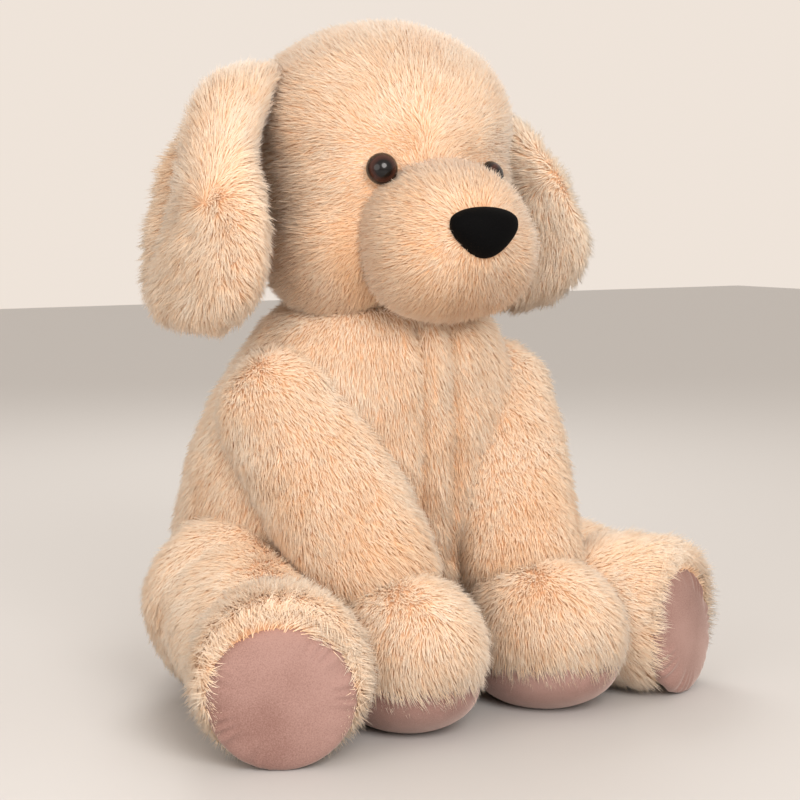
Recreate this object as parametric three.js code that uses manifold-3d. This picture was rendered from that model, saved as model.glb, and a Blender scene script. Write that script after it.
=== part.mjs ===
// Sitting plush dog, about 600 mm tall. Millimetres, +Z up, the dog faces -Y and its left is +X.
// Every cover is a shell of pile fabric with the opening it is stuffed or sewn through, and the
// polyester filling inside it is a solid of its own.
import * as THREE from "three";
import { mergeVertices } from "three/addons/utils/BufferGeometryUtils.js";
import Module from "manifold-3d";

const wasm = await Module();
wasm.setup();

// Driving dimensions
const GAP = 0.4;
const PILE = 10;
const SEGMENTS = 16;
const RINGS = 8;

const HEAD = { at: [0, -3, 466], radii: [122, 112, 128] };
const MUZZLE = { at: [0, -113, 404], radii: [76, 68, 66] };
const NOSE = { at: [0, -177, 417], radii: [29, 17, 21], cloth: 2 };
const NECK = { pivot: [0, 6, 245], ball: 118, room: 3.6, plug: 50, plugFoot: 322, shoulderTop: 326 };
const EYE = { at: [54, -103, 466], facing: [0.414, -0.91, 0], radius: 14, shank: 3, washer: 11 };

const EAR_LENGTH = 236;
const EARS = {
  right: { root: [-97, 2, 553], tilt: 21, yaw: -12 },
  left: { root: [97, 2, 553], tilt: 17, yaw: 18 },
};

const BODY_DEPTH = 0.895;
const BODY_PROFILE = [
  [0, 0], [112, 0], [146, 16], [167, 70], [170, 140], [161, 205], [144, 260], [118, 312],
  [80, 340], [0, 347],
];

const ARM = { shoulder: [100, -19, 250], shoulderRadius: 58, wrist: [77, -114, 124], wristRadius: 49 };
const ARM_INNER_FACE = 50;
const PAW = { at: [70, -159, 65.4], radii: [55, 72, 65] };
const PAW_PAD = { width: 46, stretch: 1.31, rim: 32, thickness: 5 };

const HIP = { at: [137, 14, 82], radii: [78, 78, 82] };
const LEG = { knee: [150, -22, 78], kneeRadius: 68, ankle: [186, -110, 70], ankleRadius: 58 };
const FOOT = { at: [195, -150, 68.4], radii: [66, 74, 68], splay: 33, soleReach: 42 };
const SOLE = { radius: 56, thickness: 6, tilt: 6 };

const TAIL = { root: [0, 194, 66], rootRadius: 19, tip: [0, 218, 116], tipRadius: 13, room: 4 };

// Materials
const PALETTE = {
  pile: { color: 0xe6c79c, roughness: 0.95, metalness: 0 },
  velour: { color: 0xc8a294, roughness: 0.9, metalness: 0 },
  noseCloth: { color: 0x151414, roughness: 0.8, metalness: 0 },
  filling: { color: 0xf3f1ec, roughness: 1, metalness: 0 },
  eyeClear: { color: 0xd9c4ae, roughness: 0.05, metalness: 0 },
  eyeBrown: { color: 0x3a1c0d, roughness: 0.3, metalness: 0 },
  eyeBlack: { color: 0x0b0a0a, roughness: 0.35, metalness: 0 },
  washerPlastic: { color: 0xe8e6e0, roughness: 0.5, metalness: 0 },
};

const group = new THREE.Group();
group.name = "plush_dog";

// A closed three.js geometry as a solid for the booleans.
function solid(geometry) {
  const bare = geometry.clone();
  bare.deleteAttribute("normal");
  if (bare.getAttribute("uv")) bare.deleteAttribute("uv");
  const merged = mergeVertices(bare, 1e-4);
  const mesh = new wasm.Mesh({
    numProp: 3,
    vertProperties: new Float32Array(merged.attributes.position.array),
    triVerts: new Uint32Array(merged.index.array),
  });
  return new wasm.Manifold(mesh);
}

function addPart(name, shape, look) {
  const out = shape.getMesh();
  const geometry = new THREE.BufferGeometry();
  geometry.setAttribute("position", new THREE.BufferAttribute(new Float32Array(out.vertProperties), 3));
  geometry.setIndex(new THREE.BufferAttribute(new Uint32Array(out.triVerts), 1));
  geometry.computeVertexNormals();
  const part = new THREE.Mesh(geometry, new THREE.MeshStandardMaterial(PALETTE[look]));
  part.name = name;
  group.add(part);
}

// Mirrors a point to the dog's right (-1) or leaves it on its left (+1).
const onSide = (side, [x, y, z]) => [side * x, y, z];

// Inner faces are coarser than the ones that show.
const isInner = (grow) => Math.abs(grow) > 4;

function ellipsoid(at, radii, grow = 0, turn = null) {
  const geometry = isInner(grow)
    ? new THREE.SphereGeometry(1, 12, 6)
    : new THREE.SphereGeometry(1, SEGMENTS, RINGS);
  geometry.rotateX(Math.PI / 2);
  geometry.scale(radii[0] + grow, radii[1] + grow, radii[2] + grow);
  if (turn) geometry.applyQuaternion(turn);
  geometry.translate(...at);
  return solid(geometry);
}

// Turned body of revolution along a direction, from a profile of [radius, height] points.
function turned(profile, at, direction, segments = SEGMENTS) {
  const geometry = new THREE.LatheGeometry(profile.map(([r, h]) => new THREE.Vector2(r, h)), segments);
  const axis = new THREE.Vector3(...direction).normalize();
  geometry.applyQuaternion(new THREE.Quaternion().setFromUnitVectors(new THREE.Vector3(0, 1, 0), axis));
  geometry.translate(...at);
  return solid(geometry);
}

// Tapered limb with round ends.
function limb(from, fromRadius, to, toRadius, grow = 0) {
  const a = new THREE.Vector3(...from);
  const along = new THREE.Vector3(...to).sub(a);
  const length = along.length();
  const steps = isInner(grow) ? 2 : 3;
  const profile = [];
  for (let i = 0; i <= steps; i += 1) {
    const t = (i / steps) * (Math.PI / 2);
    const r = fromRadius + grow;
    profile.push([r * Math.sin(t), -r * Math.cos(t)]);
  }
  for (let i = 0; i <= steps; i += 1) {
    const t = (i / steps) * (Math.PI / 2);
    const r = toRadius + grow;
    profile.push([r * Math.cos(t), length + r * Math.sin(t)]);
  }
  profile[0][0] = 0;
  profile[profile.length - 1][0] = 0;
  return turned(profile, from, along.toArray(), isInner(grow) ? 10 : 14);
}

function disc(at, direction, radius, from, to, segments = 16) {
  return turned([[0, from], [radius, from], [radius, to], [0, to]], at, direction, segments);
}

function box(low, high) {
  const size = high.map((value, i) => value - low[i]);
  const geometry = new THREE.BoxGeometry(...size);
  geometry.translate(low[0] + size[0] / 2, low[1] + size[1] / 2, low[2] + size[2] / 2);
  return solid(geometry);
}

const floorClip = box([-400, -400, -100], [400, 400, 0]);

// Head: a round cover over one filling, hollowed below to turn and nod on the neck ball.
const neckClear = ellipsoid(NECK.pivot, [NECK.ball, NECK.ball, NECK.ball], NECK.room);
const headOuter = ellipsoid(HEAD.at, HEAD.radii);
const headInner = ellipsoid(HEAD.at, HEAD.radii, -PILE);
const headClear = ellipsoid(HEAD.at, HEAD.radii, GAP);

let headCover = headOuter.subtract(headInner).subtract(neckClear);
let headFilling = ellipsoid(HEAD.at, HEAD.radii, -PILE - GAP).subtract(neckClear);

// Safety eyes: back plate with shank, iris ring, pupil, clear dome, and the washer pressed on inside.
for (const [label, side] of [["right", -1], ["left", 1]]) {
  const at = onSide(side, EYE.at);
  const facing = onSide(side, EYE.facing);
  const r = EYE.radius;
  const back = turned(
    [[0, -20], [EYE.shank, -20], [EYE.shank, 1.6], [r, 1.6], [r, 4], [0, 4]], at, facing, 16);
  const iris = disc(at, facing, r - 0.5, 4.3, 5.3).subtract(disc(at, facing, 7.2, 3, 7));
  const pupil = disc(at, facing, 6.9, 4.3, 5.3);
  const dome = turned(
    [[0, 5.6], [r, 5.6], [r * 0.94, 8.6], [r * 0.7, 12], [r * 0.3, 13.8], [0, 14]], at, facing, 16);
  const washer = disc(at, facing, EYE.washer, -17.4, -15).subtract(
    disc(at, facing, EYE.shank + 0.3, -30, 0));
  headCover = headCover.subtract(disc(at, facing, EYE.shank + 0.4, -30, 10));
  headFilling = headFilling.subtract(disc(at, facing, EYE.washer + 1, -22, 0));
  addPart(`eye_back_${label}`, back, "eyeBlack");
  addPart(`eye_iris_${label}`, iris, "eyeBrown");
  addPart(`eye_pupil_${label}`, pupil, "eyeBlack");
  addPart(`eye_dome_${label}`, dome, "eyeClear");
  addPart(`eye_washer_${label}`, washer, "washerPlastic");
}

// Muzzle: an open pouch sewn to the front of the head, with its own filling.
const muzzleOpening = disc([MUZZLE.at[0], HEAD.at[1], MUZZLE.at[2]], [0, -1, 0.1], 40, 60, 125);
headCover = headCover.subtract(muzzleOpening);
addPart("head_cover", headCover, "pile");
addPart("head_filling", headFilling, "filling");

// The nose is a black cloth pouch, wide above and narrow below, pushed a little into the muzzle.
function noseShape(grow) {
  const geometry = new THREE.SphereGeometry(1, 14, 7);
  geometry.rotateX(Math.PI / 2);
  const points = geometry.attributes.position;
  for (let i = 0; i < points.count; i += 1) {
    const taper = 0.84 + 0.2 * points.getZ(i);
    points.setX(i, points.getX(i) * taper);
  }
  geometry.scale(NOSE.radii[0] + grow, NOSE.radii[1] + grow, NOSE.radii[2] + grow);
  geometry.translate(...NOSE.at);
  return solid(geometry);
}

const noseClear = noseShape(GAP);
let muzzleCover = ellipsoid(MUZZLE.at, MUZZLE.radii)
  .subtract(ellipsoid(MUZZLE.at, MUZZLE.radii, -PILE))
  .subtract(headClear)
  .subtract(neckClear)
  .subtract(noseClear);
for (const side of [-1, 1]) {
  const eyeClear = disc(onSide(side, EYE.at), onSide(side, EYE.facing), EYE.radius + 1, -4, 20);
  muzzleCover = muzzleCover.subtract(eyeClear);
}
const muzzleFilling = ellipsoid(MUZZLE.at, MUZZLE.radii, -PILE - GAP)
  .subtract(headClear)
  .subtract(neckClear)
  .subtract(noseClear);
addPart("muzzle_cover", muzzleCover, "pile");
addPart("muzzle_filling", muzzleFilling, "filling");

const noseBack = disc([0, NOSE.at[1], NOSE.at[2]], [0, 1, 0], 10, 8, 30, 14);
addPart("nose_cover", noseShape(0).subtract(noseShape(-NOSE.cloth)).subtract(noseBack), "noseCloth");
addPart("nose_filling", noseShape(-NOSE.cloth - GAP), "filling");

// Ears: flat padded flaps, narrow where they are sewn on and broad at the bottom.
const EAR_PROFILE = [
  [0, 0], [26, -4], [42, -24], [60, -82], [76, -145], [72, -190], [46, -222], [0, -EAR_LENGTH],
];

function earShape(ear, side, grow) {
  const profile = EAR_PROFILE.map(([r, h], i) => {
    const last = i === EAR_PROFILE.length - 1;
    const radius = i === 0 || last ? 0 : Math.max(r + grow * 1.6, 4);
    return new THREE.Vector2(radius, h + (h < -118 ? -grow : grow));
  }).reverse();
  const geometry = new THREE.LatheGeometry(profile, isInner(grow) ? 10 : SEGMENTS);
  geometry.rotateX(Math.PI / 2);
  const halfThickness = 21 + grow;
  geometry.scale(halfThickness / (77 + grow * 1.6), 1, 1);
  geometry.rotateZ(THREE.MathUtils.degToRad(side * ear.yaw));
  geometry.rotateY(THREE.MathUtils.degToRad(-side * ear.tilt));
  geometry.translate(ear.root[0] + side * 10, ear.root[1], ear.root[2]);
  return solid(geometry);
}

for (const [label, side] of [["right", -1], ["left", 1]]) {
  const ear = EARS[label];
  const rootMouth = ellipsoid([ear.root[0] + side * 8, ear.root[1], ear.root[2]], [16, 15, 24]);
  const cover = earShape(ear, side, 0)
    .subtract(earShape(ear, side, -PILE * 0.8))
    .subtract(rootMouth)
    .subtract(headClear);
  const batting = earShape(ear, side, -PILE * 0.8 - GAP)
    .subtract(rootMouth)
    .subtract(headClear);
  addPart(`ear_cover_${label}`, cover, "pile");
  addPart(`ear_batting_${label}`, batting, "filling");
}

// Body: a pear that leans forward as it rises, flat underneath, with slots the arms hang in.
function bodyShape(grow) {
  const profile = BODY_PROFILE.map(([r, h], i) => {
    const onAxis = i === 0 || i === BODY_PROFILE.length - 1;
    const height = h < 100 ? h - grow : h + grow;
    return new THREE.Vector2(onAxis ? 0 : r + grow, height);
  });
  const geometry = new THREE.LatheGeometry(profile, isInner(grow) ? 12 : SEGMENTS + 2);
  geometry.rotateX(Math.PI / 2);
  const points = geometry.attributes.position;
  for (let i = 0; i < points.count; i += 1) {
    const lean = 58 - 56 * (points.getZ(i) / 315) ** 2;
    points.setY(i, points.getY(i) * BODY_DEPTH + lean);
  }
  return solid(geometry);
}

function pawShape(side, grow) {
  return ellipsoid(onSide(side, PAW.at), PAW.radii, grow);
}

function armSlot(side, grow) {
  const [, y, z] = ARM.shoulder;
  const r = ARM.shoulderRadius + 2 + grow;
  const along = new THREE.Vector2(ARM.wrist[1] - y, ARM.wrist[2] - z).normalize();
  const backStart = [y - along.y * r, z + along.x * r];
  const wristBack = ARM.wristRadius + 3 + grow;
  const backEnd = [ARM.wrist[1] - along.y * wristBack, ARM.wrist[2] + along.x * wristBack];
  const outline = new THREE.Shape();
  outline.moveTo(...backStart);
  outline.lineTo(...backEnd);
  outline.lineTo(-90 + grow, 62);
  outline.lineTo(-90 + grow, -20);
  outline.lineTo(-300, -20);
  outline.lineTo(-300, z + r);
  outline.lineTo(y, z + r);
  const turnedFrom = Math.PI / 2;
  const turnedTo = Math.atan2(backStart[1] - z, backStart[0] - y);
  outline.absarc(y, z, r, turnedFrom, turnedTo, true);
  const geometry = new THREE.ExtrudeGeometry(outline, { depth: 200, bevelEnabled: false, curveSegments: 5 });
  geometry.applyMatrix4(new THREE.Matrix4().set(
    0, 0, 1, 0,
    1, 0, 0, 0,
    0, 1, 0, 0,
    0, 0, 0, 1));
  const inner = ARM_INNER_FACE - GAP - grow;
  geometry.translate(side > 0 ? inner : -inner - 200, 0, 0);
  return solid(geometry);
}

// Above the shoulders only the ball under the head is left.
function aboveShoulders(grow) {
  return box([-300, -300, NECK.shoulderTop - grow], [300, 400, 500]).subtract(
    ellipsoid(NECK.pivot, [NECK.ball, NECK.ball, NECK.ball], -grow));
}

const tailShape = (grow) => limb(TAIL.root, TAIL.rootRadius, TAIL.tip, TAIL.tipRadius, grow);

function carveBody(shape, grow) {
  let out = shape.subtract(aboveShoulders(grow)).subtract(tailShape(TAIL.room + grow));
  for (const side of [-1, 1]) {
    out = out
      .subtract(armSlot(side, grow))
      .subtract(pawShape(side, 2 + grow))
      .subtract(ellipsoid(onSide(side, HIP.at), HIP.radii, 2.4 + grow))
      .subtract(limb(onSide(side, LEG.knee), LEG.kneeRadius, onSide(side, LEG.ankle), LEG.ankleRadius,
        2 + grow));
  }
  return out;
}

const plugPivot = [NECK.pivot[0], NECK.pivot[1], 0];
const neckHole = disc(plugPivot, [0, 0, 1], NECK.plug + 1.6, NECK.plugFoot - GAP, 420);
const bodyOuter = carveBody(bodyShape(0), 0).subtract(neckHole);
const bodyInner = carveBody(bodyShape(-PILE), PILE);
addPart("body_cover", bodyOuter.subtract(bodyInner), "pile");
addPart("body_filling", carveBody(bodyShape(-PILE - GAP), PILE + GAP).subtract(neckHole), "filling");

const neckPlug = disc(plugPivot, [0, 0, 1], NECK.plug, NECK.plugFoot, 420)
  .intersect(ellipsoid(NECK.pivot, [NECK.ball, NECK.ball, NECK.ball]));
addPart("neck_filling", neckPlug, "filling");

// Arms, paws, legs and feet, the same on both sides.
for (const [label, side] of [["right", -1], ["left", 1]]) {
  const shoulder = onSide(side, ARM.shoulder);
  const wrist = onSide(side, ARM.wrist);
  const armShape = (grow) => limb(shoulder, ARM.shoulderRadius, wrist, ARM.wristRadius, grow);
  const inward = (grow) => {
    const face = ARM_INNER_FACE - grow;
    return side > 0 ? box([-300, -400, -50], [face, 300, 500]) : box([-face, -400, -50], [300, 300, 500]);
  };
  const pawClear = pawShape(side, GAP);
  const armOuter = armShape(0).subtract(inward(0)).subtract(pawClear);
  const armInner = armShape(-PILE).subtract(inward(-PILE));
  addPart(`arm_cover_${label}`, armOuter.subtract(armInner), "pile");
  addPart(`arm_filling_${label}`,
    armShape(-PILE - GAP).subtract(inward(-PILE - GAP)).subtract(pawClear), "filling");

  // Paw, open at the wrist seam and closed below by the bowl of its pad.
  const [pawX, pawY] = onSide(side, PAW.at);
  const wristMouth = turned([[0, -30], [28, -30], [28, 40], [0, 40]], wrist,
    [pawX - wrist[0], pawY - wrist[1], PAW.at[2] - wrist[2]], 12);
  const belowRim = box([-400, -400, -100], [400, 400, PAW_PAD.rim + GAP]);
  const pawCover = pawShape(side, 0)
    .subtract(pawShape(side, -PILE))
    .subtract(wristMouth)
    .subtract(belowRim);
  addPart(`paw_cover_${label}`, pawCover, "pile");
  addPart(`paw_filling_${label}`, pawShape(side, -PILE - GAP), "filling");
  const w = PAW_PAD.width;
  const bowl = new THREE.LatheGeometry([
    [0, 0], [w * 0.72, 0], [w * 0.94, 7], [w, PAW_PAD.rim], [w - PAW_PAD.thickness, PAW_PAD.rim],
    [w * 0.8, 10], [w * 0.64, PAW_PAD.thickness], [0, PAW_PAD.thickness],
  ].map(([r, h]) => new THREE.Vector2(r, h)), 18);
  bowl.rotateX(Math.PI / 2);
  bowl.scale(1, PAW_PAD.stretch, 1);
  bowl.translate(pawX, pawY, 0);
  addPart(`paw_pad_${label}`, solid(bowl), "velour");

  // Haunch and shin in one cover, round about the hip so the leg can swing outwards.
  const hip = onSide(side, HIP.at);
  const knee = onSide(side, LEG.knee);
  const ankle = onSide(side, LEG.ankle);
  const footAt = onSide(side, FOOT.at);
  const splay = THREE.MathUtils.degToRad(side * FOOT.splay);
  const footTurn = new THREE.Quaternion().setFromAxisAngle(new THREE.Vector3(0, 0, 1), splay);
  const footShape = (grow) => ellipsoid(footAt, FOOT.radii, grow, footTurn);
  const footClear = footShape(GAP);
  const legShape = (grow) => ellipsoid(hip, HIP.radii, grow)
    .add(limb(knee, LEG.kneeRadius, ankle, LEG.ankleRadius, grow));
  const legCover = legShape(0)
    .subtract(legShape(-PILE))
    .subtract(footClear)
    .subtract(floorClip);
  addPart(`leg_cover_${label}`, legCover, "pile");
  addPart(`leg_filling_${label}`, legShape(-PILE - GAP).subtract(footClear), "filling");

  // Foot, open at the ankle seam and closed in front by its sole.
  const facing = new THREE.Vector3(0, -1, Math.sin(THREE.MathUtils.degToRad(SOLE.tilt)))
    .applyQuaternion(footTurn).normalize();
  const toSole = facing.clone().multiplyScalar(FOOT.soleReach);
  const soleAt = [footAt[0] + toSole.x, footAt[1] + toSole.y, SOLE.radius + 2.4];
  const soleRecess = disc(soleAt, facing.toArray(), SOLE.radius + GAP, -GAP, 60);
  const beyondSole = disc(soleAt, facing.toArray(), 120, SOLE.thickness, 80);
  const insideSole = disc(soleAt, facing.toArray(), 120, -GAP, 80);
  const ankleMouth = disc(footAt, facing.clone().negate().toArray(), 30, 10, 90, 16);
  const footCover = footShape(0)
    .subtract(floorClip)
    .subtract(beyondSole)
    .subtract(soleRecess)
    .subtract(footShape(-PILE))
    .subtract(ankleMouth);
  addPart(`foot_cover_${label}`, footCover, "pile");
  addPart(`foot_filling_${label}`, footShape(-PILE - GAP).subtract(insideSole), "filling");
  const sole = turned(
    [[0, 0], [SOLE.radius, 0], [SOLE.radius, SOLE.thickness], [SOLE.radius * 0.7, SOLE.thickness + 3],
      [0, SOLE.thickness + 4]],
    soleAt, facing.toArray(), SEGMENTS);
  addPart(`sole_${label}`, sole.subtract(floorClip), "velour");
}

// Tail: a short stub low on the back.
const tailMouth = disc(TAIL.root, [0, -1, 0], 9, 5, 60, 14);
addPart("tail_cover", tailShape(0).subtract(tailShape(-6)).subtract(tailMouth), "pile");
addPart("tail_filling", tailShape(-6 - GAP), "filling");

export default group;
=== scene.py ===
import math

import bmesh
import bpy
import numpy as np
from mathutils import Matrix, Vector, noise


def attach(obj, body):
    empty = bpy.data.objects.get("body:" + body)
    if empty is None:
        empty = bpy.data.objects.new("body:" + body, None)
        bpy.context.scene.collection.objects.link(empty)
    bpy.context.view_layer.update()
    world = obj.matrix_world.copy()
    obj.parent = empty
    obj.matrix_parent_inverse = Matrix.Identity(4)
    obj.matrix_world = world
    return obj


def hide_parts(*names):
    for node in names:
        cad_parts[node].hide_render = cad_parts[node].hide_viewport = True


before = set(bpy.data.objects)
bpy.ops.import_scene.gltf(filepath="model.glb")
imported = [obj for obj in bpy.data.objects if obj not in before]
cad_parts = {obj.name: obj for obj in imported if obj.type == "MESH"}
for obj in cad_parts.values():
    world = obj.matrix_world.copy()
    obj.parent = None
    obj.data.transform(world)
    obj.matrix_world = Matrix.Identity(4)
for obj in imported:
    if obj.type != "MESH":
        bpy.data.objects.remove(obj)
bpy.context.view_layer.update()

# The view: a long lens a little above the dog's shoulders, on its right front.
VIEW_YAW = math.radians(-33)
VIEW_DROP = math.radians(5.86)
view_right = Vector((math.cos(VIEW_YAW), math.sin(VIEW_YAW), 0))
view_ahead = Vector((-math.sin(VIEW_YAW), math.cos(VIEW_YAW), 0))
camera_data = bpy.data.cameras.new("camera")
camera_data.lens = 87.8
camera_data.sensor_width = 36
camera = bpy.data.objects.new("camera", camera_data)
camera.location = Vector((0, -0.003, 0.44)) - 1.774 * view_ahead + 0.019 * view_right
camera.rotation_euler = (math.pi / 2 - VIEW_DROP, 0, VIEW_YAW)
bpy.context.collection.objects.link(camera)
bpy.context.scene.camera = camera

# Floor and light: a pale table top, one large warm lamp from the upper right and soft fill.
floor_form = bmesh.new()
bmesh.ops.create_grid(floor_form, x_segments=2, y_segments=2, size=6)
floor_mesh = bpy.data.meshes.new("floor")
floor_form.to_mesh(floor_mesh)
floor_form.free()
floor = bpy.data.objects.new("floor", floor_mesh)
bpy.context.collection.objects.link(floor)
floor_paint = bpy.data.materials.new("floor_paint")
floor_paint.use_nodes = True
floor_shader = floor_paint.node_tree.nodes["Principled BSDF"]
floor_shader.inputs["Base Color"].default_value = (0.55, 0.545, 0.54, 1)
floor_shader.inputs["Roughness"].default_value = 0.6
floor_mesh.materials.append(floor_paint)

bpy.context.scene.view_settings.view_transform = "Standard"
world = bpy.data.worlds.new("studio")
bpy.context.scene.world = world
world.use_nodes = True
world.node_tree.nodes["Background"].inputs["Color"].default_value = (1.0, 0.90, 0.81, 1)
world.node_tree.nodes["Background"].inputs["Strength"].default_value = 0.86


def lamp(name, at, aim, size, power, colour):
    data = bpy.data.lights.new(name, "AREA")
    data.shape = "DISK"
    data.size = size
    data.energy = power
    data.color = colour
    light = bpy.data.objects.new(name, data)
    light.location = at
    light.rotation_euler = (Vector(aim) - Vector(at)).to_track_quat("-Z", "Y").to_euler()
    bpy.context.collection.objects.link(light)


lamp("key", (-0.50, -2.05, 1.25), (0, 0, 0.3), 1.2, 39, (1.0, 0.95, 0.91))
lamp("fill", (-2.0, -1.0, 0.8), (0, 0, 0.3), 1.6, 15, (1.0, 0.945, 0.90))
lamp("rim", (0.7, 1.5, 1.7), (0, 0, 0.4), 1.2, 16, (1.0, 0.96, 0.92))


# Head: a round bag of cream pile, sewn from panels and stuffed firm with loose fibre; its
# opening is sewn down onto the neck. Like every stuffed piece it is built here from a few lumps
# run together, as filling swells its panels, and then grows its pile.
def stuffed_form(name, lumps, grain=0.006, soften=6, unevenness=0.0015, seed=0.0):
    form = bmesh.new()
    for centre, radii, turn in lumps:
        place = Matrix.Translation(centre)
        if turn:
            place = place @ turn.to_matrix().to_4x4()
        stretch = Matrix.Diagonal((radii[0], radii[1], radii[2], 1))
        bmesh.ops.create_icosphere(form, subdivisions=4, radius=1, matrix=place @ stretch)
    mesh = bpy.data.meshes.new(name)
    form.to_mesh(mesh)
    form.free()
    piece = bpy.data.objects.new(name, mesh)
    bpy.context.collection.objects.link(piece)
    return fill_out(piece, grain, soften, unevenness, seed)


# Runs a rough form together at the given grain, smooths it and makes it a little uneven.
def fill_out(piece, grain, soften, unevenness, seed):
    remesh = piece.modifiers.new("run_together", "REMESH")
    remesh.mode = "VOXEL"
    remesh.voxel_size = grain
    smooth = piece.modifiers.new("soften", "SMOOTH")
    smooth.iterations = soften
    smooth.factor = 0.5
    apply_modifiers(piece)

    def uneven(p):
        spot = p * 18 + Vector((seed, seed, seed))
        return unevenness * (noise.noise(spot) + 0.5 * noise.noise(spot * 2.3))

    press(piece, uneven)
    for face in piece.data.polygons:
        face.use_smooth = True
    return piece


# Moves each point of a skin along its normal by the given distance.
def press(piece, amount):
    starts = [(vertex.co.copy(), vertex.normal.copy()) for vertex in piece.data.vertices]
    for vertex, (at, normal) in zip(piece.data.vertices, starts):
        vertex.co = at + normal * amount(at)
    piece.data.update()


# Makes a piece's modifiers part of its mesh.
def apply_modifiers(piece):
    bpy.context.view_layer.update()
    graph = bpy.context.evaluated_depsgraph_get()
    done = bpy.data.meshes.new_from_object(
        piece.evaluated_get(graph), preserve_all_data_layers=True, depsgraph=graph)
    old = piece.data
    piece.modifiers.clear()
    piece.data = done
    bpy.data.meshes.remove(old)
    done.name = piece.name


# One fibre lock of the pile: a slim three-sided spike, drawn to a point at its tip.
def fibre_lock():
    form = bmesh.new()
    along = form.verts.layers.float.new("along")
    across = form.verts.layers.float.new("across")
    bmesh.ops.create_cone(form, segments=3, radius1=0.52, radius2=0, depth=1,
                          matrix=Matrix.Translation((0, 0, 0.5)))
    for corner in form.verts:
        corner[along] = corner.co.z
        corner[across] = 2 * corner.co.x
    bmesh.ops.recalc_face_normals(form, faces=form.faces)
    mesh = bpy.data.meshes.new("fibre_lock")
    form.to_mesh(mesh)
    form.free()
    lock = bpy.data.objects.new("fibre_lock", mesh)
    bpy.context.collection.objects.link(lock)
    return lock


lock = fibre_lock()


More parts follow.
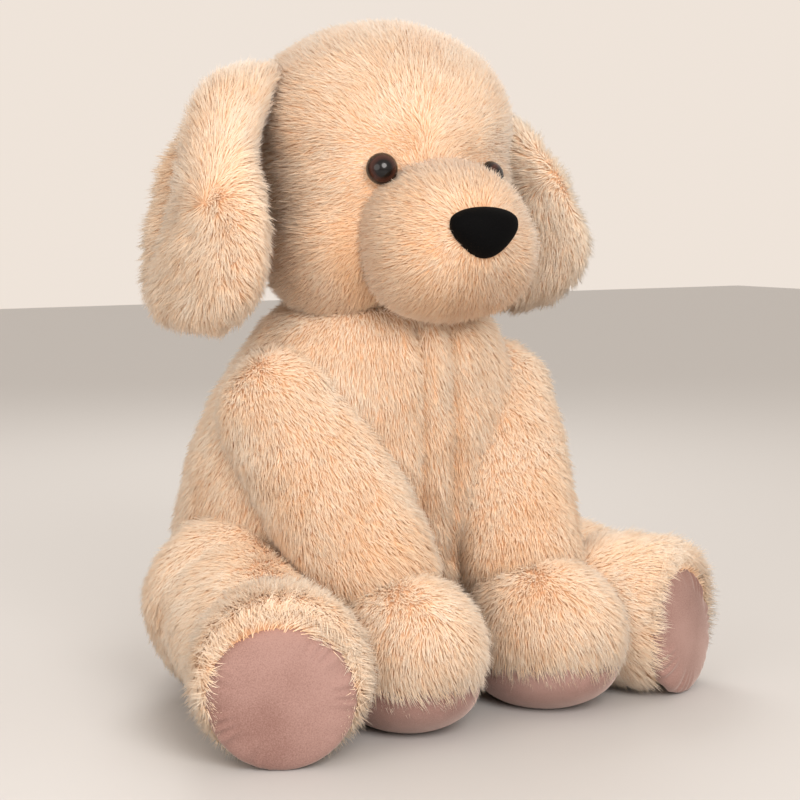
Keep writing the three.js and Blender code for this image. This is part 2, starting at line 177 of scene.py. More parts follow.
# The pile machine: scatters locks over a skin, combs them, gathers them in small clumps.
def pile_nodes():
    tree = bpy.data.node_groups.new("pile", "GeometryNodeTree")
    face = tree.interface
    face.new_socket("Geometry", in_out="INPUT", socket_type="NodeSocketGeometry")
    for label, kind in (("Density", "NodeSocketFloat"), ("Length", "NodeSocketFloat"),
                        ("Width", "NodeSocketFloat"), ("Lift", "NodeSocketFloat"),
                        ("Whorl", "NodeSocketVector"), ("Spread", "NodeSocketFloat"),
                        ("Fall", "NodeSocketVector"), ("Clump", "NodeSocketFloat"),
                        ("Swirl", "NodeSocketFloat"), ("Cells", "NodeSocketFloat"),
                        ("Fuzz", "NodeSocketFloat"), ("Droop", "NodeSocketFloat"),
                        ("Seed", "NodeSocketInt")):
        face.new_socket(label, in_out="INPUT", socket_type=kind)
    face.new_socket("Geometry", in_out="OUTPUT", socket_type="NodeSocketGeometry")
    nodes, links = tree.nodes, tree.links
    given = nodes.new("NodeGroupInput")
    result = nodes.new("NodeGroupOutput")

    def vector(operation, a=None, b=None, scale=None):
        node = nodes.new("ShaderNodeVectorMath")
        node.operation = operation
        for value, key in ((a, 0), (b, 1)):
            if isinstance(value, bpy.types.NodeSocket):
                links.new(value, node.inputs[key])
            elif value is not None:
                node.inputs[key].default_value = value
        if isinstance(scale, bpy.types.NodeSocket):
            links.new(scale, node.inputs["Scale"])
        elif scale is not None:
            node.inputs["Scale"].default_value = scale
        return node.outputs["Value"] if operation == "DOT_PRODUCT" else node.outputs["Vector"]

    def number(operation, a, b=None, c=None):
        node = nodes.new("ShaderNodeMath")
        node.operation = operation
        for value, key in ((a, 0), (b, 1), (c, 2)):
            if isinstance(value, bpy.types.NodeSocket):
                links.new(value, node.inputs[key])
            elif value is not None:
                node.inputs[key].default_value = value
        return node.outputs[0]

    def named(name, kind="FLOAT"):
        node = nodes.new("GeometryNodeInputNamedAttribute")
        node.data_type = kind
        node.inputs["Name"].default_value = name
        return node.outputs["Attribute"]

    def scatter_noise(position, scale, seed_offset):
        node = nodes.new("ShaderNodeTexNoise")
        node.noise_dimensions = "3D"
        links.new(vector("ADD", position, (seed_offset, seed_offset * 0.7, 0)), node.inputs["Vector"])
        node.inputs["Scale"].default_value = scale
        node.inputs["Detail"].default_value = 1.5
        return node

    def random(kind, low, high, seed_shift):
        node = nodes.new("FunctionNodeRandomValue")
        node.data_type = kind
        picked = 0 if kind == "FLOAT_VECTOR" else 1
        ins = [s for s in node.inputs if s.name in ("Min", "Max") and s.enabled]
        ins[0].default_value = low
        ins[1].default_value = high
        links.new(number("ADD", given.outputs["Seed"], float(seed_shift)), node.inputs["Seed"])
        outs = [s for s in node.outputs if s.enabled]
        return outs[0]

    scatter = nodes.new("GeometryNodeDistributePointsOnFaces")
    links.new(given.outputs["Geometry"], scatter.inputs["Mesh"])
    links.new(number("MULTIPLY", given.outputs["Density"], named("pile")), scatter.inputs["Density"])
    links.new(given.outputs["Seed"], scatter.inputs["Seed"])
    normal = scatter.outputs["Normal"]
    where = nodes.new("GeometryNodeInputPosition").outputs["Position"]

    # Comb: away from the whorl and along the fall, turned by a slow swirl, laid in the surface.
    away = vector("SCALE", vector("NORMALIZE", vector("SUBTRACT", where, given.outputs["Whorl"])),
                  scale=given.outputs["Spread"])
    drift = scatter_noise(where, 16.0, 3.1)
    drift = vector("SCALE", vector("SUBTRACT", drift.outputs["Color"], (0.5, 0.5, 0.5)),
                   scale=given.outputs["Swirl"])
    comb = vector("ADD", vector("ADD", away, given.outputs["Fall"]), drift)
    comb = vector("SUBTRACT", comb, vector("SCALE", normal, scale=vector("DOT_PRODUCT", comb, normal)))
    comb = vector("NORMALIZE", comb)

    # Clumps: each lock leans towards the middle of its clump.
    cells = nodes.new("ShaderNodeTexVoronoi")
    cells.voronoi_dimensions = "3D"
    cells.feature = "F1"
    links.new(where, cells.inputs["Vector"])
    links.new(given.outputs["Cells"], cells.inputs["Scale"])
    gather = vector("SUBTRACT", cells.outputs["Position"], where)
    gather = vector("SCALE", gather, scale=number("MULTIPLY", given.outputs["Clump"], 70.0))
    fine = vector("SCALE", random("FLOAT_VECTOR", (-1, -1, -1), (1, 1, 1), 7), scale=given.outputs["Fuzz"])
    lifted = vector("SCALE", normal, scale=given.outputs["Lift"])
    lean = vector("ADD", vector("ADD", comb, lifted), vector("ADD", gather, fine))
    lean = vector("ADD", lean, vector("SCALE", (0, 0, -1), scale=given.outputs["Droop"]))
    lean = vector("NORMALIZE", lean)

    turn = nodes.new("FunctionNodeAxesToRotation")
    turn.primary_axis = "Z"
    turn.secondary_axis = "Y"
    links.new(lean, turn.inputs["Primary Axis"])
    links.new(normal, turn.inputs["Secondary Axis"])
    roll = nodes.new("FunctionNodeRotateRotation")
    roll.rotation_space = "LOCAL"
    links.new(turn.outputs["Rotation"], roll.inputs["Rotation"])
    twist = nodes.new("ShaderNodeCombineXYZ")
    links.new(random("FLOAT", -0.5, 0.5, 11), twist.inputs["Z"])
    to_turn = nodes.new("FunctionNodeEulerToRotation")
    links.new(twist.outputs["Vector"], to_turn.inputs["Euler"])
    links.new(to_turn.outputs["Rotation"], roll.inputs["Rotate By"])

    # Size: random, a little by clump, shorter where the pile is clipped.
    long = number("MULTIPLY", given.outputs["Length"], random("FLOAT", 0.7, 1.12, 13))
    clump_size = nodes.new("FunctionNodeSeparateColor")
    links.new(cells.outputs["Color"], clump_size.inputs["Color"])
    long = number("MULTIPLY", long, number("MULTIPLY_ADD", clump_size.outputs["Red"], 0.35, 0.82))
    long = number("MULTIPLY", long, named("trim"))
    size = nodes.new("ShaderNodeCombineXYZ")
    wide = number("MULTIPLY", given.outputs["Width"], random("FLOAT", 0.7, 1.3, 17))
    links.new(wide, size.inputs["X"])
    links.new(wide, size.inputs["Y"])
    links.new(long, size.inputs["Z"])

    info = nodes.new("GeometryNodeObjectInfo")
    info.inputs["Object"].default_value = lock
    plant = nodes.new("GeometryNodeInstanceOnPoints")
    links.new(scatter.outputs["Points"], plant.inputs["Points"])
    links.new(info.outputs["Geometry"], plant.inputs["Instance"])
    links.new(roll.outputs["Rotation"], plant.inputs["Rotation"])
    links.new(size.outputs["Vector"], plant.inputs["Scale"])

    def store(geometry, name, kind, domain, value):
        node = nodes.new("GeometryNodeStoreNamedAttribute")
        node.data_type = kind
        node.domain = domain
        links.new(geometry, node.inputs["Geometry"])
        node.inputs["Name"].default_value = name
        links.new(value, node.inputs["Value"])
        return node.outputs["Geometry"]

    patch = scatter_noise(where, 26.0, 9.7)
    tone = number("MULTIPLY_ADD", patch.outputs["Fac"], 0.9, -0.25)
    tone = number("ADD", tone, random("FLOAT", 0.0, 0.5, 19))
    tone = number("ADD", tone, number("MULTIPLY", clump_size.outputs["Green"], 0.22))
    # The shade attribute adds painted shade (creases, seams, under the muzzle) and painted light (the far
    # ear) to each lock's tone.
    tone = number("MINIMUM", number("MAXIMUM", number("ADD", tone, named("shade")), 0.02), 0.98)
    points = store(scatter.outputs["Points"], "tone", "FLOAT", "POINT", tone)
    points = store(points, "under", "FLOAT_VECTOR", "POINT", normal)
    links.new(points, plant.inputs["Points"])
    realize = nodes.new("GeometryNodeRealizeInstances")
    links.new(plant.outputs["Instances"], realize.inputs["Geometry"])

    # Locks that would reach through the floor lie down on it.
    place = nodes.new("ShaderNodeSeparateXYZ")
    links.new(nodes.new("GeometryNodeInputPosition").outputs["Position"], place.inputs["Vector"])
    level = number("MAXIMUM", place.outputs["Z"], 0.0006)
    flat = nodes.new("ShaderNodeCombineXYZ")
    links.new(place.outputs["X"], flat.inputs["X"])
    links.new(place.outputs["Y"], flat.inputs["Y"])
    links.new(level, flat.inputs["Z"])
    settle = nodes.new("GeometryNodeSetPosition")
    links.new(realize.outputs["Geometry"], settle.inputs["Geometry"])
    links.new(flat.outputs["Vector"], settle.inputs["Position"])
    chart = nodes.new("ShaderNodeCombineXYZ")
    links.new(number("ADD", named("tone"), number("MULTIPLY", named("across"), 0.012)), chart.inputs["X"])
    links.new(number("MULTIPLY_ADD", named("along"), 0.94, 0.03), chart.inputs["Y"])
    grown = store(settle.outputs["Geometry"], "OFBake", "FLOAT2", "CORNER", chart.outputs["Vector"])
    join = nodes.new("GeometryNodeJoinGeometry")
    links.new(given.outputs["Geometry"], join.inputs["Geometry"])
    links.new(grown, join.inputs["Geometry"])
    links.new(join.outputs["Geometry"], result.inputs["Geometry"])
    return tree


pile_tree = pile_nodes()


# Cream pile: brown-tan at the roots, pale at the tips, each lock of its own tone. The darker roots are
# partly the pile's own colour and partly painted shade for the depths of the pile between the locks.
def pile_paint():
    paint = bpy.data.materials.new("cream_pile")
    paint.use_nodes = True
    nodes, links = paint.node_tree.nodes, paint.node_tree.links
    shader = nodes["Principled BSDF"]
    shader.inputs["Roughness"].default_value = 0.62
    shader.inputs["Sheen Weight"].default_value = 0.25
    shader.inputs["Sheen Roughness"].default_value = 0.5
    shader.inputs["Specular IOR Level"].default_value = 0.25
    along = nodes.new("ShaderNodeAttribute")
    along.attribute_name = "along"
    tone = nodes.new("ShaderNodeAttribute")
    tone.attribute_name = "tone"
    dark = nodes.new("ShaderNodeValToRGB")
    light = nodes.new("ShaderNodeValToRGB")
    for ramp, stops in (
        (dark, ((0.0, (0.64, 0.31, 0.14)), (0.35, (0.84, 0.53, 0.31)), (1.0, (0.92, 0.69, 0.48)))),
        (light, ((0.0, (0.80, 0.53, 0.34)), (0.35, (0.92, 0.74, 0.56)), (1.0, (0.96, 0.88, 0.77)))),
    ):
        ramp.color_ramp.elements[0].position = stops[0][0]
        ramp.color_ramp.elements[0].color = (*stops[0][1], 1)
        ramp.color_ramp.elements[1].position = stops[2][0]
        ramp.color_ramp.elements[1].color = (*stops[2][1], 1)
        middle = ramp.color_ramp.elements.new(stops[1][0])
        middle.color = (*stops[1][1], 1)
        links.new(along.outputs["Fac"], ramp.inputs["Fac"])
    mix = nodes.new("ShaderNodeMix")
    mix.data_type = "RGBA"
    links.new(tone.outputs["Fac"], mix.inputs["Factor"])
    links.new(dark.outputs["Color"], mix.inputs["A"])
    links.new(light.outputs["Color"], mix.inputs["B"])
    links.new(mix.outputs["Result"], shader.inputs["Base Color"])
    return paint


cream_pile = pile_paint()


# Grows pile on a skin. Lengths are in metres and density in locks per square metre; trim, bare
# and shade say where the pile is clipped short, left out, or painted darker or lighter than the rest.
# Shade is mostly painted shade in creases and seams, with painted light on the far ear and a little tone.
def grow_pile(piece, length, density=400000, width=0.0011, lift=0.5, whorl=(0, 0, 0), spread=0.0,
              fall=(0, 0, -1), clump=0.5, swirl=0.9, cells=130, fuzz=0.25, droop=0.0, seed=1,
              trim=None, bare=None, shade=None):
    mesh = piece.data
    for name in ("pile", "trim", "shade", "along", "tone"):
        mesh.attributes.new(name, "FLOAT", "POINT")
    count = len(mesh.vertices)
    spots = [vertex.co for vertex in mesh.vertices]
    mesh.attributes["pile"].data.foreach_set("value", [0.0 if bare and bare(p) else 1.0 for p in spots])
    mesh.attributes["trim"].data.foreach_set("value", [trim(p) if trim else 1.0 for p in spots])
    mesh.attributes["shade"].data.foreach_set("value", [shade(p) if shade else 0.0 for p in spots])
    mesh.attributes["along"].data.foreach_set("value", [0.12] * count)
    mesh.attributes["tone"].data.foreach_set("value", [0.4] * count)
    chart = mesh.uv_layers.new(name="OFBake")
    chart.data.foreach_set("uv", [0.4, 0.12] * len(mesh.loops))
    mesh.materials.clear()
    mesh.materials.append(cream_pile)
    machine = piece.modifiers.new("pile", "NODES")
    machine.node_group = pile_tree
    values = {"Density": density, "Length": length, "Width": width, "Lift": lift, "Whorl": whorl,
              "Spread": spread, "Fall": fall, "Clump": clump, "Swirl": swirl, "Cells": float(cells),
              "Fuzz": fuzz, "Droop": droop, "Seed": seed}
    for item in pile_tree.interface.items_tree:
        if item.in_out == "INPUT" and item.name in values:
            machine[item.identifier] = values[item.name]
    apply_modifiers(piece)
    mesh = piece.data
    mesh.materials.clear()
    mesh.materials.append(cream_pile)
    soften_light(mesh)
    for name in ("pile", "trim", "shade", "across", "under"):
        if name in mesh.attributes:
            mesh.attributes.remove(mesh.attributes[name])
    return piece


# Fine fibres scatter light, so each lock is lit mostly as the cloth under it is.
def soften_light(mesh):
    count = len(mesh.vertices)
    own = np.empty(count * 3, dtype=np.float32)
    mesh.vertex_normals.foreach_get("vector", own)
    own = own.reshape(-1, 3)
    under = np.zeros(count * 3, dtype=np.float32)
    mesh.attributes["under"].data.foreach_get("vector", under)
    under = under.reshape(-1, 3)
    along_cloth = np.clip((own * under).sum(axis=1, keepdims=True), 0, 1)
    lit = own * 0.6 + under * (0.25 + 0.65 * along_cloth)
    lit /= np.maximum(np.linalg.norm(lit, axis=1, keepdims=True), 1e-6)
    bare = np.abs(under).sum(axis=1) < 1e-6
    lit[bare] = own[bare]
    mesh.normals_split_custom_set_from_vertices(lit.tolist())


# The face, set a few degrees towards the dog's right.
MUZZLE_AT = Vector((-0.004, -0.113, 0.405))
NOSE_AT = Vector((-0.010, -0.181, 0.414))
EYE_SPOTS = {"right": Vector((-0.060, -0.101, 0.466)), "left": Vector((0.046, -0.104, 0.460))}


# The pile is clipped round the eyes.
def eye_trim(p):
    nearest = min((p - spot).length for spot in EYE_SPOTS.values())
    return 0.35 + 0.65 * min(1.0, max(0.0, (nearest - 0.012) / 0.03))


# The underside of the head that the neck covers.
def in_neck(p):
    return (p - Vector((0, 0.006, 0.245))).length < 0.106


# Painted shade: the cheeks are painted a deeper orange in the crease beside the muzzle and darker towards
# the underside of the head, where shade falls.
def cheek_painted_shade(p):
    off = p - MUZZLE_AT
    reach = Vector((off.x / 0.082, off.y / 0.075, off.z / 0.075)).length
    low = min(1.0, max(0.0, (0.445 - p.z) / 0.05))
    return -0.75 * math.exp(-((reach - 1.02) / 0.18) ** 2) * (0.3 + 0.7 * low) - 0.08 * low


head = stuffed_form("head", [
    (Vector((0, -0.003, 0.504)), (0.120, 0.108, 0.091), None),
    (Vector((0, -0.003, 0.452)), (0.119, 0.108, 0.108), None),
    (Vector((-0.053, -0.024, 0.399)), (0.067, 0.073, 0.065), None),
    (Vector((0.053, -0.024, 0.399)), (0.067, 0.073, 0.065), None),
    (Vector((0, 0.020, 0.430)), (0.104, 0.082, 0.086), None),
], seed=1.0)
grow_pile(head, 0.012, 480000, width=0.0010, whorl=NOSE_AT + Vector((0, 0.02, 0.01)), spread=0.9,
          fall=(0, 0, -0.35), trim=eye_trim, bare=in_neck,
          shade=cheek_painted_shade, clump=0.4, cells=160, swirl=1.4, fuzz=0.35, seed=11)
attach(head, "head")
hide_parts("head_cover", "head_filling")


# Muzzle: a wide soft pouch of the same pile, sewn to the front of the head over its own filling,
# clipped a little shorter and brushed out from the nose.
# The muzzle's pile is a little warmer in tone overall, and painted shade makes it darker towards its
# underside.
def muzzle_tone_and_painted_shade(p):
    return -0.2 - 0.25 * min(1.0, max(0.0, (0.385 - p.z) / 0.04))


def under_nose(p):
    return (p - NOSE_AT).length < 0.02


muzzle = stuffed_form("muzzle", [
    (MUZZLE_AT, (0.074, 0.068, 0.067), None),
    (MUZZLE_AT + Vector((-0.026, -0.008, -0.010)), (0.050, 0.054, 0.052), None),
    (MUZZLE_AT + Vector((0.026, -0.008, -0.010)), (0.050, 0.054, 0.052), None),
    (MUZZLE_AT + Vector((0, -0.012, 0.012)), (0.066, 0.052, 0.052), None),
], grain=0.005, seed=2.0)
grow_pile(muzzle, 0.011, 540000, width=0.0010, whorl=NOSE_AT, spread=1.0, fall=(0, 0, -0.12),
          clump=0.4, cells=160, swirl=1.2, fuzz=0.35, bare=under_nose, shade=muzzle_tone_and_painted_shade, seed=23)
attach(muzzle, "head")
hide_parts("muzzle_cover", "muzzle_filling")


# Nose: a small stuffed pad of black short-napped cloth, sewn to the tip of the muzzle, broad above
# and rounded to a point below.
def nose_cloth():
    paint = bpy.data.materials.new("nose_cloth")
    paint.use_nodes = True
    nodes, links = paint.node_tree.nodes, paint.node_tree.links
    shader = nodes["Principled BSDF"]
    shader.inputs["Roughness"].default_value = 0.8
    shader.inputs["Sheen Weight"].default_value = 0.0
    shader.inputs["Specular IOR Level"].default_value = 0.05
    place = nodes.new("ShaderNodeTexCoord")
    nap = nodes.new("ShaderNodeTexNoise")
    nap.inputs["Scale"].default_value = 900
    nap.inputs["Detail"].default_value = 3
    links.new(place.outputs["Object"], nap.inputs["Vector"])
    ramp = nodes.new("ShaderNodeValToRGB")
    ramp.color_ramp.elements[0].color = (0.0008, 0.0008, 0.0009, 1)
    ramp.color_ramp.elements[1].color = (0.0035, 0.0035, 0.0038, 1)
    links.new(nap.outputs["Fac"], ramp.inputs["Fac"])
    links.new(ramp.outputs["Color"], shader.inputs["Base Color"])
    bump = nodes.new("ShaderNodeBump")
    bump.inputs["Strength"].default_value = 0.35
    bump.inputs["Distance"].default_value = 0.0006
    links.new(nap.outputs["Fac"], bump.inputs["Height"])
    links.new(bump.outputs["Normal"], shader.inputs["Normal"])
    return paint


def padded_mesh(name, form, paint):
    mesh = bpy.data.meshes.new(name)
    bmesh.ops.recalc_face_normals(form, faces=form.faces)
    form.to_mesh(mesh)
    form.free()
    for face in mesh.polygons:
        face.use_smooth = True
    mesh.materials.append(paint)
    piece = bpy.data.objects.new(name, mesh)
    bpy.context.collection.objects.link(piece)
    return piece


nose_form = bmesh.new()
bmesh.ops.create_icosphere(nose_form, subdivisions=5, radius=1)
for corner in nose_form.verts:
    x, y, z = corner.co
    flat_top = z if z < 0.35 else 0.35 + (z - 0.35) * 0.62
    squareness = 1 + 0.10 * (1 - abs(z)) * abs(x)
    corner.co = Vector((x * (0.86 + 0.24 * z) * squareness, y, flat_top))
    x, y, z = corner.co
    corner.co = Vector((x * 0.0335, y * 0.020, z * 0.0245 + 0.002)) + NOSE_AT
nose = padded_mesh("nose", nose_form, nose_cloth())
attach(nose, "head")
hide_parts("nose_cover", "nose_filling")


# Safety eyes: a clear dome moulded over a brown ring and a black pupil, on a black back plate
# whose shank goes through the cloth to a washer inside.
def eye_paint():
    paint = bpy.data.materials.new("eye")
    paint.use_nodes = True
    nodes, links = paint.node_tree.nodes, paint.node_tree.links
    shader = nodes["Principled BSDF"]
    shader.inputs["Roughness"].default_value = 0.25
    shader.inputs["Specular IOR Level"].default_value = 0.15
    shader.inputs["Coat Weight"].default_value = 0.45
    shader.inputs["Coat Roughness"].default_value = 0.02
    off_axis = nodes.new("ShaderNodeAttribute")
    off_axis.attribute_name = "off_axis"
    ramp = nodes.new("ShaderNodeValToRGB")
    stops = ((0.0, (0.003, 0.002, 0.002)), (0.50, (0.003, 0.002, 0.002)), (0.58, (0.020, 0.006, 0.004)),
             (0.78, (0.050, 0.016, 0.010)), (0.90, (0.010, 0.004, 0.003)), (1.0, (0.002, 0.002, 0.002)))
    ramp.color_ramp.elements[0].color = (*stops[0][1], 1)
    ramp.color_ramp.elements[1].color = (*stops[-1][1], 1)
    for at, colour in stops[1:-1]:
        ramp.color_ramp.elements.new(at).color = (*colour, 1)
    links.new(off_axis.outputs["Fac"], ramp.inputs["Fac"])
    links.new(ramp.outputs["Color"], shader.inputs["Base Color"])
    return paint


EYE_RADIUS = 0.0136
for side, sign in (("right", -1), ("left", 1)):
    centre = EYE_SPOTS[side]
    facing = Vector((sign * 0.414, -0.91, 0)).normalized()
    eye_form = bmesh.new()
    bmesh.ops.create_uvsphere(eye_form, u_segments=40, v_segments=24, radius=1)
    for corner in eye_form.verts:
        height = corner.co.z * (0.0125 if corner.co.z > 0 else 0.004)
        corner.co = Vector((corner.co.x * EYE_RADIUS, corner.co.y * EYE_RADIUS, height))
    off_axis = [min(1.0, math.hypot(c.co.x, c.co.y) / EYE_RADIUS) for c in eye_form.verts]
    stand = Matrix.Translation(centre + facing * 0.004)
    stand = stand @ facing.to_track_quat("Z", "Y").to_matrix().to_4x4()
    bmesh.ops.transform(eye_form, matrix=stand, verts=eye_form.verts)
    eye = padded_mesh(f"eye_{side}", eye_form, eye_paint())
    eye.data.attributes.new("off_axis", "FLOAT", "POINT")
    eye.data.attributes["off_axis"].data.foreach_set("value", off_axis)
    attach(eye, "head")
    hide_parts(f"eye_dome_{side}", f"eye_iris_{side}", f"eye_pupil_{side}", f"eye_back_{side}")


# Ears: two shaped panels sewn face to face over thin wadding and let into the side of the head.
# Each leaves the head sideways, turns over and hangs, the right one straight and the left one with
# its front edge turned out. A soft valley runs down the outer face.
def ringed_bag(name, rings, grain, soften, unevenness, seed):
    form = bmesh.new()
    for centre, across, forward in rings:
        place = Matrix.Translation(centre) @ Matrix((across, forward, (0, 0, 1))).transposed().to_4x4()
        bmesh.ops.create_circle(form, segments=48, radius=1, matrix=place)
    bmesh.ops.bridge_loops(form, edges=form.edges[:])
    bmesh.ops.holes_fill(form, edges=form.edges[:], sides=48)
    bmesh.ops.recalc_face_normals(form, faces=form.faces)
    mesh = bpy.data.meshes.new(name)
    form.to_mesh(mesh)
    form.free()
    piece = bpy.data.objects.new(name, mesh)
    bpy.context.collection.objects.link(piece)
    return fill_out(piece, grain, soften, unevenness, seed)


# Each ear's turn in degrees, then from its root to its tip: x, z, half width and half thickness.
EAR_HANG = {
    "right": (0, (
        (-0.122, 0.552, 0.010, 0.012), (-0.132, 0.543, 0.026, 0.025), (-0.150, 0.525, 0.036, 0.029),
        (-0.164, 0.490, 0.048, 0.027), (-0.168, 0.450, 0.067, 0.026), (-0.171, 0.410, 0.086, 0.027),
        (-0.174, 0.385, 0.091, 0.027), (-0.178, 0.362, 0.085, 0.025), (-0.182, 0.345, 0.068, 0.022),
        (-0.184, 0.334, 0.038, 0.012))),
    "left": (18, (
        (0.098, 0.532, 0.008, 0.008), (0.106, 0.524, 0.026, 0.020), (0.120, 0.508, 0.040, 0.024),
        (0.136, 0.480, 0.054, 0.024), (0.148, 0.446, 0.068, 0.025), (0.156, 0.410, 0.077, 0.026),
        (0.158, 0.385, 0.076, 0.026), (0.158, 0.364, 0.065, 0.024), (0.157, 0.350, 0.044, 0.018),
        (0.156, 0.342, 0.016, 0.009))),
}
VALLEY_MIDDLE = 0.465
for side, sign in (("right", -1), ("left", 1)):
    yaw, ribs = EAR_HANG[side]
    turn = Matrix.Rotation(math.radians(yaw), 4, "Z").to_quaternion()
    rings = []
    for x, z, half_width, half_thickness in ribs:
        rings.append((Vector((x, 0.002, z)), turn @ Vector((half_thickness, 0, 0)),
                      turn @ Vector((0, half_width, 0))))
    ear = ringed_bag(f"ear_{side}", rings, grain=0.005, soften=8, unevenness=0.004, seed=3.0 + sign)

    def from_valley(p, turn=turn, at=Vector((ribs[3][0], 0.030, 0.490))):
        off = p - at
        return off.dot(turn @ Vector((0, 1, 0))) + 0.22 * off.z, off.dot(turn @ Vector((1, 0, 0)))

    def valley(p, sign=sign):
        across, out = from_valley(p)
        if out * sign < 0:
            return 0.0
        reach = math.exp(-((p.z - VALLEY_MIDDLE) / 0.075) ** 2)
        return reach * (0.006 * math.exp(-((across - 0.026) / 0.014) ** 2)
                        - 0.020 * math.exp(-(across / 0.012) ** 2))

    # Painted light and shade: the left ear, turned away from the lamps, is painted paler, and the valley
    # down the outer face is painted darker, as shade.
    def ear_painted_light_and_shade(p, sign=sign):
        across, out = from_valley(p)
        in_valley = math.exp(-(across / 0.009) ** 2 - ((p.z - VALLEY_MIDDLE) / 0.07) ** 2)
        return 0.24 + 0.24 * sign - (0.3 * in_valley if out * sign > 0 else 0.0)

    press(ear, valley)
    grow_pile(ear, 0.015, 500000, whorl=(ribs[4][0] + 0.03 * sign, -0.03, 0.435), spread=1.0,
              fall=(0, 0, -0.45), clump=0.6, cells=115, swirl=1.8, lift=0.6, seed=31 + sign,
              shade=ear_painted_light_and_shade)
    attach(ear, f"ear_{side}")
    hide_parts(f"ear_cover_{side}", f"ear_batting_{side}")


# Body: a pear-shaped bag of the same pile, stuffed firm, flat where it sits and leaning forward as
# it rises to the neck. Two seams run down the chest, either side of a narrow middle panel.
def settle_on_floor(piece, least=0.001):
    for vertex in piece.data.vertices:
        vertex.co.z = max(vertex.co.z, least)
    piece.data.update()


CHEST_SEAM_X = 0.016


def off_chest_seam(p):
    if p.y < 0.0 and 0.12 < p.z < 0.335:
        return min(abs(p.x - CHEST_SEAM_X), abs(p.x + CHEST_SEAM_X))
    return 1.0


def chest_seam(p):
    return -0.009 * math.exp(-(off_chest_seam(p) / 0.007) ** 2)


# Painted shade: the pile is painted darker along the two chest seams, as shade in their creases.
def chest_seam_painted_shade(p):
    return -0.4 * math.exp(-(off_chest_seam(p) / 0.006) ** 2)


# Height and half width of the body, from the seat to the neck.
BODY_RINGS = ((0.000, 0.106), (0.012, 0.138), (0.040, 0.154), (0.070, 0.162), (0.140, 0.166),
              (0.205, 0.157), (0.260, 0.140), (0.300, 0.122), (0.326, 0.105), (0.345, 0.082),
              (0.356, 0.048))
BODY_DEPTH = 0.895
body_rings = []
for height, radius in BODY_RINGS:
    lean = 0.058 - 0.056 * (height / 0.315) ** 2
    body_rings.append((Vector((0, lean, height)), Vector((radius, 0, 0)),
                       Vector((0, BODY_DEPTH * radius, 0))))
body = ringed_bag("body", body_rings, grain=0.007, soften=6, unevenness=0.004, seed=5.0)
settle_on_floor(body)
press(body, chest_seam)
grow_pile(body, 0.013, 350000, whorl=(0, 0.05, 0.45), spread=0.6, fall=(0, 0, -0.7), clump=0.35,
          shade=chest_seam_painted_shade, bare=lambda p: p.z < 0.006, seed=41)
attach(body, "torso")
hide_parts("body_cover", "body_filling", "neck_filling")


# Arms: tapered tubes of pile, stuffed firm and sewn in at the shoulder, each with a round paw
# gathered on at the wrist and a pad of dusty pink velour under the paw.
def dusty_velour():
    paint = bpy.data.materials.new("dusty_velour")
    paint.use_nodes = True
    nodes, links = paint.node_tree.nodes, paint.node_tree.links
    shader = nodes["Principled BSDF"]
    shader.inputs["Roughness"].default_value = 0.85
    shader.inputs["Sheen Weight"].default_value = 0.5
    shader.inputs["Sheen Roughness"].default_value = 0.4
    shader.inputs["Sheen Tint"].default_value = (1.0, 0.86, 0.80, 1)
    shader.inputs["Specular IOR Level"].default_value = 0.2
    place = nodes.new("ShaderNodeTexCoord")
    brushed = nodes.new("ShaderNodeTexNoise")
    brushed.inputs["Scale"].default_value = 14
    brushed.inputs["Detail"].default_value = 2
    nap = nodes.new("ShaderNodeTexNoise")
    nap.inputs["Scale"].default_value = 950
    nap.inputs["Detail"].default_value = 2
    for texture in (brushed, nap):
        links.new(place.outputs["Object"], texture.inputs["Vector"])
    mix = nodes.new("ShaderNodeMath")
    mix.operation = "MULTIPLY_ADD"
    mix.inputs[1].default_value = 0.7
    links.new(nap.outputs["Fac"], mix.inputs[0])
    links.new(brushed.outputs["Fac"], mix.inputs[2])
    ramp = nodes.new("ShaderNodeValToRGB")
    ramp.color_ramp.elements[0].position = 0.60
    ramp.color_ramp.elements[0].color = (0.220, 0.118, 0.098, 1)
    ramp.color_ramp.elements[1].position = 1.0
    ramp.color_ramp.elements[1].color = (0.350, 0.215, 0.186, 1)
    links.new(mix.outputs[0], ramp.inputs["Fac"])
    links.new(ramp.outputs["Color"], shader.inputs["Base Color"])
    bump = nodes.new("ShaderNodeBump")
    bump.inputs["Strength"].default_value = 0.4
    bump.inputs["Distance"].default_value = 0.0004
    links.new(nap.outputs["Fac"], bump.inputs["Height"])
    links.new(bump.outputs["Normal"], shader.inputs["Normal"])
    return paint


